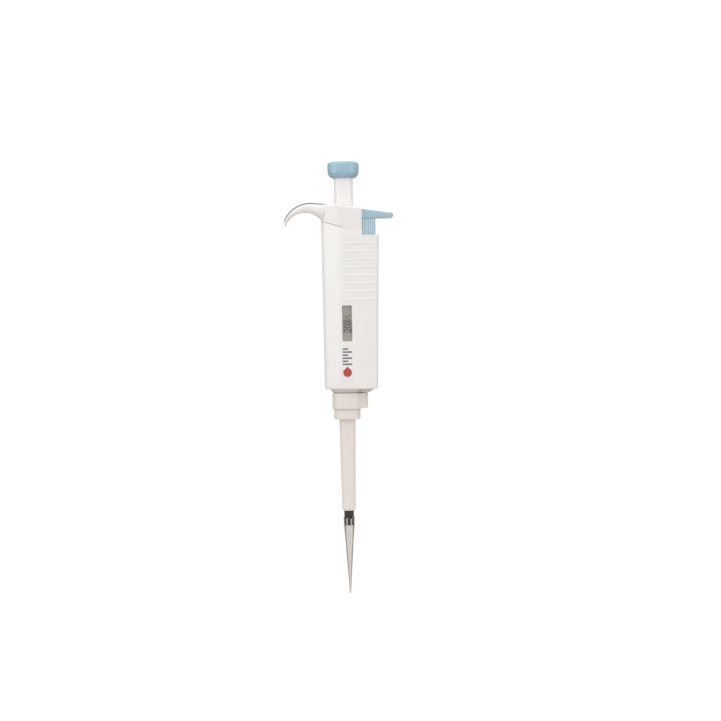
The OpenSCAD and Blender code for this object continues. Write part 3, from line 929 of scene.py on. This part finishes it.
def unit_mark():
    """The unit, printed on the mask above the wheels."""
    radius = 9.7
    height = 3.1
    mark = bmesh.new()
    level = WHEELS_FOOT_Z + 8.6
    for text, width, up in (("µ", 1.5, 0.0), ("L", 1.2, 1.9)):
        character = glyph("unit", text, height, width)
        add_bmesh(mark, wrap(character, radius, facing_window(radius), level + up))
    printed = new_object("unit_mark", mark)
    place(printed, "handle", DIGIT_INK)


def printed_on_label(name, outline):
    """A thin layer of print on the front of the label."""
    return prism(name, outline, LABEL_LOW.y - 0.05, LABEL_LOW.y + 0.1, along="Y")


def label():
    """A film with a generic mark: a red drop under six grey graduation lines."""
    film = soft_prism(
        "label_sheet", inset_rect(LABEL_LOW, LABEL_HIGH, 0.04, 0.56), LABEL_LOW.y, LABEL_HIGH.y, 0.05,
        along="Y"
    )
    place(film, "handle", LABEL, ["label_plate"])
    middle = (LABEL_LOW.x + LABEL_HIGH.x) / 2
    drop_z = LABEL_LOW.z + 6.3
    drop_r = 2.8
    point = (middle, drop_z + 3.9)
    drop = printed_on_label("drop_mark", arc((middle, drop_z), drop_r, 140, 400, 28) + [point])
    place(drop, "handle", RED_INK)
    bars = bmesh.new()
    long = 3.0
    short = 1.8
    thick = 1.1
    first = 11.1
    pitch = 1.95
    for i, half in enumerate((long, short, long, short, long, short)):
        level = LABEL_LOW.z + first + i * pitch
        outline = round_rect(middle - long, level, middle - long + 2 * half, level + thick, 0.3)
        bar = printed_on_label("bar", outline)
        bars.from_mesh(bar.data)
        discard(bar)
    place(new_object("graduation_mark", bars), "handle", GREY_INK)


# ------------ plunger

ROD_ROOM_R = 2.55


def plunger_button():
    """The round button, with a shallow dish on top and a socket for the stem."""
    radius = KNOB_HIGH.x
    top = KNOB_HIGH.z
    low = KNOB_LOW.z
    socket_r = STEM_HIGH.x + 0.02
    stem_top = STEM_HIGH.z
    rod_top = ROD_TOP_Z + 0.1
    belly_r = 4.5
    crown_r = 2
    belly = arc((radius - belly_r, low + 4.36), belly_r, -75, 0, 12)
    crown = arc((radius - crown_r, top - crown_r), crown_r, 0, 90, 8)
    dish = [(5.6, top), (4.2, top - 0.12), (2.6, top - 0.3), (1.2, top - 0.38), (0, top - 0.4)]
    outline = [(socket_r, low + 0.1), (STEM_HIGH.x + 0.2, low)] + belly + crown + dish
    outline += [(0, rod_top), (ROD_ROOM_R, rod_top), (ROD_ROOM_R, stem_top), (socket_r, stem_top)]
    knob = lathe("button_skin", outline, 128)
    place(knob, "dial", BLUE, ["plunger_button"])


def plunger_stem():
    """The hollow stem, which turns the volume screw by its hexagon."""
    radius = STEM_HIGH.x
    low = STEM_LOW.z
    top = STEM_HIGH.z
    cover = 1.6
    stem = lathe("stem_skin", rounded([(0, low), (radius, low, 0.5), (radius, top, 0.3), (0, top)]), 128)
    hexagon = arc((0, 0), 4.05, 0, 300, 5)
    hex_room = prism("hex", hexagon, low - 2, top - cover)
    cut(stem, hex_room, rod("rod_hole", ROD_ROOM_R, low, top + 1))
    place(stem, "dial", STEM_WHITE_PAINTED_LIGHT, ["plunger_stem"])


# ------------ ejector

def lever_arm():
    """The thumb lever, thickest at its root and ending in a round nose."""
    root_x = LEVER_LOW.x
    nose_x = LEVER_HIGH.x
    nose_r = 1.6
    level_x = 28.5
    drop = 2.7
    lift_x = 27
    lift = 0.1
    half = LEVER_HIGH.y
    plan_r = 4
    steps = 24
    rings = []
    for k in range(steps + 1):
        x = root_x + (nose_x - root_x) * k / steps
        under = LEVER_Z + (lift if x > lift_x else 0)
        over = LEVER_HIGH.z - drop
        if x < level_x:
            over = LEVER_HIGH.z - drop * (x - root_x) / (level_x - root_x)
        into_nose = (x - (nose_x - nose_r)) / nose_r
        if into_nose > 0:
            shrink = max(math.sqrt(max(0.0, 1 - into_nose ** 2)), 0.12)
            middle = LEVER_Z + nose_r + lift
            over = middle + (over - middle) * shrink
            under = middle + (under - middle) * shrink
        side = half
        into_round = (x - (nose_x - plan_r)) / plan_r
        if into_round > 0:
            side = half - plan_r + plan_r * math.sqrt(max(0.0, 1 - into_round ** 2))
        corner = min(0.7, (over - under) * 0.45)
        outline = round_rect(-side, under, side, over, corner, 4)
        rings.append([(x, y, z) for y, z in outline])
    return loft("lever_arm", rings)


def rib_grooves():
    """Upright grooves between the fine ribs on both sides of the block."""
    count = 7
    first = 0.3
    pitch = 1.29
    half = 0.19
    depth = 1.2
    top = LEVER_HIGH.z - 6.3
    grooves = []
    for side in (-1, 1):
        for i in range(count):
            x = LEVER_LOW.x + first + i * pitch
            face = side * LEVER_HIGH.y
            low = (x - half, face - depth, LEVER_LOW.z - 1)
            grooves.append(block("groove", low, (x + half, face + depth, top)))
    return grooves


def shadow_lines(far_x):
    """Shallow lines on both sides of the block, where it meets the lever."""
    deep = 0.35
    low_x = LEVER_LOW.x - 1
    low_z = LEVER_Z - deep
    top_z = LEVER_Z + 0.02
    half = LEVER_HIGH.y
    front = block("line", (low_x, -half - 1, low_z), (far_x, deep - half, top_z))
    back = block("line", (low_x, half - deep, low_z), (far_x, half + 1, top_z))
    return [front, back]


def ejector_button():
    """The ribbed block with its lever, a slot for the bar and a hole for the bar's pin."""
    far_x = LEVER_HIGH.x - 11.6
    outline = round_rect(LEVER_LOW.x, -LEVER_HIGH.y, far_x, LEVER_HIGH.y, 0.5)
    body = soft_prism("ejector_skin", outline, LEVER_LOW.z, LEVER_Z + 2, 0.3)
    unite(body, lever_arm())
    cut(body, *rib_grooves())
    slot_half = 3.02
    slot_low = (LEVER_LOW.x - 1, -slot_half, LEVER_LOW.z - 1)
    bar_slot = block("bar_slot", slot_low, (BAR_HIGH.x, slot_half, BAR_HIGH.z))
    pin = rod("pin_hole", 0.8, LEVER_LOW.x - 1, PIN_HIGH.x + 0.5, segments=32)
    pin.data.transform(Matrix.Rotation(math.pi / 2, 4, "Y"))
    pin.data.transform(Matrix.Translation((0, 0, (PIN_LOW.z + PIN_HIGH.z) / 2)))
    cut(body, *shadow_lines(far_x + 0.02), bar_slot, pin)
    place(body, "ejector", LEVER_BLUE, ["ejector_button"])


def ejector_collar():
    """The cup-shaped collar at the top of the sleeve, with the tab that the bar ends in."""
    radius = COLLAR_HIGH.y
    low = COLLAR_LOW.z
    top = COLLAR_HIGH.z
    room_r = 7.3
    floor_z = low + 2.2
    seat_r = SLEEVE_R_TOP + 0.05
    tab_half = 5.5
    outer = rounded([(0, low), (radius, low, 1.6), (radius, top, 0.4), (0, top)])
    collar = lathe("collar_skin", outer, 128)
    tab = soft_block("tab", (3, -tab_half, low + 1.2), (COLLAR_HIGH.x, tab_half, top), 0.5)
    unite(collar, tab)
    bore = lathe("collar_bore", [
        (0, low - 1), (5.6, low - 1), (seat_r, low + 0.3), (seat_r, floor_z),
        (room_r, floor_z), (room_r, top + 1), (0, top + 1)
    ])
    cut(collar, bore)
    place(collar, "ejector", SHAFT, ["ejector_collar"])


def lock_ring():
    """The ring that holds the sleeve in the collar, with one fine groove."""
    bore_r = SLEEVE_R_TOP + 0.05
    radius = RING_HIGH.x
    low = RING_LOW.z
    top = RING_HIGH.z
    groove = top - 1.7
    outline = rounded([
        (bore_r, low, 0.2), (radius, low, 0.6), (radius, groove - 0.15, 0.1),
        (radius - 0.2, groove, 0.05), (radius, groove + 0.15, 0.1), (radius, top, 0.25), (bore_r, top)
    ], 4)
    ring = lathe("lock_ring_skin", outline, 128)
    place(ring, "ejector", SHAFT, ["sleeve_lock_ring"])


def ejector_sleeve():
    """The long tube, with a small step at its mouth and a flange at its top."""
    low = SLEEVE_LOW.z
    top = SLEEVE_HIGH.z
    mouth_r = 3.45
    top_bore_r = 4.55
    lip_r = SLEEVE_R_LOW - 0.3
    flange = top - 1
    outline = rounded([
        (mouth_r, low, 0.15), (lip_r, low, 0.3), (lip_r, low + 1.0, 0.1),
        (SLEEVE_R_LOW, low + 1.15, 0.1), (SLEEVE_R_TOP, RING_LOW.z), (SLEEVE_R_TOP, flange),
        (SLEEVE_HIGH.x, flange, 0.1), (SLEEVE_HIGH.x, top, 0.1), (top_bore_r, top)
    ], 5)
    sleeve = lathe("sleeve_skin", outline, 96)
    place(sleeve, "ejector", SHAFT, ["ejector_sleeve"])


def coupling_nut():
    """The ring under the handle, with fine serrations for the fingers."""
    low = NUT_LOW.z
    top = NUT_HIGH.z
    bore = LOW_BORE_R
    depth = 0.12
    half_count = 30

    def serrations(angle, radius):
        return -depth * abs(math.sin(half_count * angle)) if radius > bore + 0.6 else 0

    outline = rounded([(bore, low), (NUT_HIGH.x - 2, low, 0.3), (NUT_HIGH.x, top, 0.1), (bore, top)], 4)
    nut = lathe("coupling_skin", outline, 240, serrations)
    # The nut takes the dark neck material: painted shade under the handle's foot.
    place(nut, "handle", NECK_PAINTED_SHADE, ["coupling_nut"])


# ------------ nozzle and tip

def nozzle():
    """The dark cone that a tip is pushed on to, with two shallow grip rings."""
    low = NOZZLE_LOW.z
    rim = TIP_HIGH.z
    top = NOZZLE_HIGH.z
    channel_r = 0.9
    room_r = 1.8
    plug_r = 2.7
    grip_rings = [
        (2.91, low + 1.4), (2.83, low + 1.6), (2.83, low + 1.9), (2.93, low + 2.1),
        (2.97, low + 3.0), (2.89, low + 3.2), (2.89, low + 3.5), (2.99, low + 3.7)
    ]
    outline = rounded([
        (channel_r, low, 0.1), (2.85, low, 0.3), *grip_rings,
        (3.05, rim), (3.15, SLEEVE_LOW.z), (3.3, BARREL_LOW.z), (plug_r, BARREL_LOW.z),
        (plug_r, top, 0.2), (room_r, top, 0.2), (room_r, low + 8), (channel_r, low + 6)
    ], 4)
    cone = lathe("nozzle_skin", outline, 96)
    place(cone, "handle", DARK, ["nozzle"])


def pipette_tip():
    """The thin disposable tip: its outside from the end up to the rim, then its inside down again."""
    rim = TIP_HIGH.z
    end = TIP_LOW.z
    low_z = end + 9.4
    mid_z = end + 19.8
    high_z = end + 35.1
    outside = [
        (0.45, end, 0.05), (1.0, low_z), (1.7, mid_z), (2.75, high_z), (3.42, rim - 6.3),
        (3.56, rim - 3.2), (3.58, rim - 0.9), (3.75, rim - 0.7, 0.05), (3.75, rim, 0.15)
    ]
    inside = [
        (3.1, rim, 0.1), (2.90, rim - 4.9), (2.70, rim - 5.1), (2.25, high_z), (1.2, mid_z),
        (0.6, low_z), (0.25, end)
    ]
    tip = lathe("tip_skin", rounded(outside + inside, 3), 128)
    place(tip, "tip", TIP_CLEAR, ["pipette_tip"])


def tip_ribs():
    """The small cloudy ribs under the rim of the tip."""
    count = 8
    first = 22.5
    inner_r = 3.44
    outer_r = 3.72
    half = 0.34
    low = TIP_HIGH.z - 6.0
    top = TIP_HIGH.z - 0.75
    ribs = bmesh.new()
    for i in range(count):
        rib = soft_block("rib", (inner_r, -half, low), (outer_r, half, top), 0.08, 2)
        turn = math.radians(first + i * 360 / count)
        rib.data.transform(Matrix.Rotation(turn, 4, "Z"))
        ribs.from_mesh(rib.data)
        discard(rib)
    place(new_object("tip_ribs", ribs), "tip", TIP_CLOUDY)


# ------------ springs

def coil(name, node, mean_r, wire_r, turns, body, x=0.0):
    """A wire coil with a closed turn at each end."""
    low, high = box_mm(node)
    z0 = low.z
    z1 = high.z
    steps = 40
    sides = 12
    rise = (z1 - z0 - 6 * wire_r) / turns
    rings = []
    for i in range(int((turns + 2) * steps) + 1):
        t = i / steps
        if t < 1:
            lift = 2 * wire_r * t
        elif t < turns + 1:
            lift = 2 * wire_r + rise * (t - 1)
        else:
            lift = 2 * wire_r * (t - turns) + rise * turns
        turn = math.tau * t
        ring = []
        for k in range(sides):
            angle = math.tau * k / sides
            r = mean_r + wire_r * math.cos(angle)
            z = z0 + wire_r + lift + wire_r * math.sin(angle)
            ring.append((x + r * math.cos(turn), r * math.sin(turn), z))
        rings.append(ring)
    wire = loft(name, rings)
    place(wire, body, SPRING_STEEL, [node], crease=60)
    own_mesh(wire)


# ------------ CAD nodes that show as they are

KEPT = {
    STEEL: [
        "push_rod", "rod_circlip", "piston", "stop_plate", "stop_circlip", "seal_retainer",
        "volume_screw", "pinion_shaft", "bar_pin", "spring_pin"
    ],
    BRASS: ["setting_nut"],
    BEARING: ["stem_bush", "counter_frame", "pinion_units", "pinion_tens", "piston_head"],
    SEAL: ["piston_seal"],
    RUBBER: ["seal_oring"],
    SHAFT: ["lower_barrel", "ejector_bar"],
    DISPLAY: ["display_mask", "wheel_units", "wheel_tens", "wheel_hundreds"],
}


def finish_kept_nodes():
    for material, names in KEPT.items():
        for name in names:
            for slot in frame["nodes"][name].material_slots:
                slot.material = material


# ------------ stage

def camera():
    """Level with the middle of the pipette, a long lens, and the slight lean that the pipette has."""
    data = bpy.data.cameras.new("camera")
    data.lens = 90
    data.sensor_width = 36
    view_width = 466.2
    elevation = math.radians(1.5)
    lean = math.radians(1.0)
    aim = Vector((9.1, 0, 106.2)) * MM
    distance = view_width * MM * data.lens / data.sensor_width
    back = Vector((0, -math.cos(elevation), math.sin(elevation)))
    obj = bpy.data.objects.new("camera", data)
    obj.location = aim + back * distance
    turn = (-back).to_track_quat("-Z", "Y").to_matrix().to_4x4()
    obj.matrix_world = Matrix.Translation(obj.location) @ turn @ Matrix.Rotation(-lean, 4, "Z")
    data.clip_start = 0.01
    data.clip_end = 20
    add_to_scene(obj)
    bpy.context.scene.camera = obj


def soft_light(name, azimuth, elevation, size, power):
    """A flat softbox that faces the middle of the pipette."""
    distance = 1.0
    data = bpy.data.lights.new(name, "AREA")
    data.shape = "RECTANGLE"
    data.size = size[0]
    data.size_y = size[1]
    data.energy = power
    a = math.radians(azimuth)
    e = math.radians(elevation)
    away = Vector((math.sin(a) * math.cos(e), -math.cos(a) * math.cos(e), math.sin(e)))
    middle = (CAD_BOX[0] + CAD_BOX[1]) / 2
    obj = bpy.data.objects.new(name, data)
    obj.location = middle + away * distance
    obj.rotation_mode = "QUATERNION"
    obj.rotation_quaternion = away.to_track_quat("Z", "Y")
    add_to_scene(obj)


def ramp(tree, value, start, end):
    return map_range(tree, value, start, end, "SMOOTHSTEP")


def world():
    """White behind the pipette. Its light is dimmer at the sides and below, which draws the edges."""
    sky = bpy.data.worlds.new("studio")
    sky.use_nodes = True
    tree = sky.node_tree
    link = tree.links.new
    background = tree.nodes["Background"]
    where = tree.nodes.new("ShaderNodeTexCoord")
    parts = tree.nodes.new("ShaderNodeSeparateXYZ")
    link(where.outputs["Generated"], parts.inputs["Vector"])
    side = tree.nodes.new("ShaderNodeMath")
    side.operation = "ABSOLUTE"
    link(parts.outputs["X"], side.inputs[0])
    front = ramp(tree, side.outputs["Value"], start=(0.55, 1.0), end=(0.84, 0.88))
    back = ramp(tree, side.outputs["Value"], start=(0.12, 0.6), end=(0.91, 0.27))
    behind = ramp(tree, parts.outputs["Y"], start=(-0.1, 0.25), end=(0.0, 1.0))
    above = ramp(tree, parts.outputs["Z"], start=(-1.0, 1.0), end=(0.45, 1.42))
    around = tree.nodes.new("ShaderNodeMix")
    link(behind, around.inputs["Factor"])
    link(front, around.inputs["A"])
    link(back, around.inputs["B"])
    level = tree.nodes.new("ShaderNodeMath")
    level.operation = "MULTIPLY"
    link(around.outputs["Result"], level.inputs[0])
    link(above, level.inputs[1])
    rays = tree.nodes.new("ShaderNodeLightPath")
    mix = tree.nodes.new("ShaderNodeMix")
    mix.data_type = "RGBA"
    seen_white = (1.02, 1.02, 1.0, 1)
    mix.inputs["B"].default_value = seen_white
    link(rays.outputs["Is Camera Ray"], mix.inputs["Factor"])
    link(level.outputs["Value"], mix.inputs["A"])
    link(mix.outputs["Result"], background.inputs["Color"])
    bpy.context.scene.world = sky
    bpy.context.scene.view_settings.view_transform = "Standard"


def floor():
    """A plain pale floor well below the tip."""
    drop = 0.16
    radius = 0.3
    bm = bmesh.new()
    bmesh.ops.create_circle(bm, cap_ends=True, radius=radius, segments=96)
    mesh = bpy.data.meshes.new("floor")
    bm.to_mesh(mesh)
    bm.free()
    obj = bpy.data.objects.new("floor", mesh)
    obj.location = (0, 0, CAD_BOX[0].z - drop)
    add_to_scene(obj)
    material, tree, bsdf = shader("floor_white")
    paint = spread(tree, noise(tree, 60.0, 2.0), 0, 1)
    colour = two_colours(tree, paint, (0.9, 0.9, 0.89), (0.88, 0.88, 0.87))
    tree.links.new(colour, bsdf.inputs["Base Color"])
    bsdf.inputs["Roughness"].default_value = 0.9
    mesh.materials.append(material)


camera()
world()
soft_light("left_box", azimuth=-68, elevation=14, size=(0.5, 1.1), power=2.1)
soft_light("right_box", azimuth=66, elevation=12, size=(0.4, 1.1), power=1.7)
soft_light("top_box", azimuth=0, elevation=75, size=(0.9, 0.9), power=0.8)
floor()

handle_shell()
bar_guide()
hook_cap()
hook_inlay()
window_lens()
wheel_digits("wheel_hundreds", "hundreds_wheel", shown=2)
wheel_digits("wheel_tens", "tens_wheel", shown=0)
wheel_digits("wheel_units", "volume_drive", shown=0)
unit_mark()
label()
plunger_button()
plunger_stem()
ejector_button()
ejector_collar()
lock_ring()
ejector_sleeve()
coupling_nut()
nozzle()
pipette_tip()
tip_ribs()
coil(
    "blowout_coil", "blowout_spring", mean_r=3.9, wire_r=0.4, turns=3,
    body="handle"
)
coil(
    "piston_coil", "piston_spring", mean_r=3.95, wire_r=0.25, turns=7,
    body="stop_carrier"
)
coil(
    "ejector_coil", "ejector_spring", mean_r=2.3, wire_r=0.3, turns=11,
    body="handle", x=RETURN_X
)
finish_kept_nodes()
